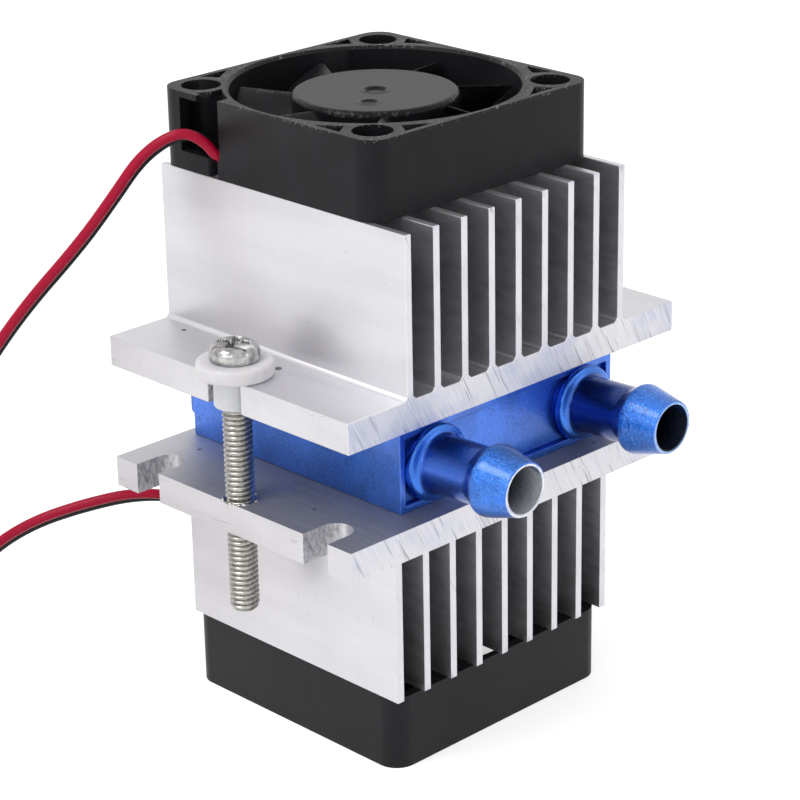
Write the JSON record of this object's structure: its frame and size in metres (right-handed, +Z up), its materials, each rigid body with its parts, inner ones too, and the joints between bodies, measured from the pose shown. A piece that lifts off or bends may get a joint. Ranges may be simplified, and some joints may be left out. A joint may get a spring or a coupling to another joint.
{
  "type": "thermoelectric cooling module",
  "caption": "Water block and thermoelectric element clamped between two finned heat sinks, each with its own axial fan, hose barbs in front and fan leads behind.",
  "frame": {"origin": "on the floor below the middle of the heat sinks; the lower fan's axis is 0.5 mm behind it", "axes": "+Z up through both fans, X from flange to flange with the picture's near flange at -X, hose barbs towards -Y"},
  "size_m": [0.1065, 0.1119, 0.085],
  "materials": {
    "heat_sink_aluminium": "extruded and saw-cut, plain aluminium",
    "blue_block": "blue anodised, fine sandblasted",
    "barb_metal": "blue anodised, fine sandblasted",
    "ceramic": "white alumina ceramic",
    "semiconductor": "dull grey pellets",
    "zinc_steel": "bright zinc plate",
    "nylon": "translucent white nylon",
    "black_plastic": "black satin moulding",
    "bearing_bronze": "sintered bronze",
    "board": "green circuit board",
    "core_steel": "stacked steel laminations",
    "copper_wire": "enamelled copper wire",
    "magnet": "bonded ferrite",
    "red_insulation": "soft red insulation",
    "black_insulation": "soft black insulation",
    "white_plastic": "white nylon plug"
  },
  "bodies": {
    "stack": {"upper_heat_sink": "heat_sink_aluminium", "lower_heat_sink": "heat_sink_aluminium", "water_block_body": "blue_block", "water_block_front_cap": "blue_block", "water_block_rear_cap": "blue_block", "left_barb": "barb_metal", "right_barb": "barb_metal", "element_cold_plate": "ceramic", "element_hot_plate": "ceramic", "element_pellets": "semiconductor", "left_clamp_screw": "zinc_steel", "right_clamp_screw": "zinc_steel", "left_shoulder_washer": "nylon", "right_shoulder_washer": "nylon", "upper_fan_frame": "black_plastic", "upper_fan_bearing": "bearing_bronze", "upper_fan_circuit_board": "board", "upper_fan_stator_core": "core_steel", "upper_fan_windings": "copper_wire", "upper_red_lead": "red_insulation", "upper_black_lead": "black_insulation", "upper_lead_coil": "red_insulation", "upper_lead_plug": "white_plastic", "lower_fan_frame": "black_plastic", "lower_fan_bearing": "bearing_bronze", "lower_fan_circuit_board": "board", "lower_fan_stator_core": "core_steel", "lower_fan_windings": "copper_wire", "lower_red_lead": "red_insulation", "lower_black_lead": "black_insulation", "lower_lead_coil": "red_insulation", "lower_lead_plug": "white_plastic"},
    "upper_rotor": {"upper_fan_impeller": "black_plastic", "upper_fan_shaft": "zinc_steel", "upper_fan_rotor_yoke": "zinc_steel", "upper_fan_magnet_ring": "magnet"},
    "lower_rotor": {"lower_fan_impeller": "black_plastic", "lower_fan_shaft": "zinc_steel", "lower_fan_rotor_yoke": "zinc_steel", "lower_fan_magnet_ring": "magnet"}
  },
  "joints": [
    {"name": "upper_impeller_spin", "type": "hinge", "parent": "stack", "child": "upper_rotor", "pos_m": [0, 0.00275, 0.082], "axis": [0, 0, 1], "continuous": true},
    {"name": "lower_impeller_spin", "type": "hinge", "parent": "stack", "child": "lower_rotor", "pos_m": [0, 0.0005, 0.003], "axis": [0, 0, 1], "continuous": true}
  ]
}
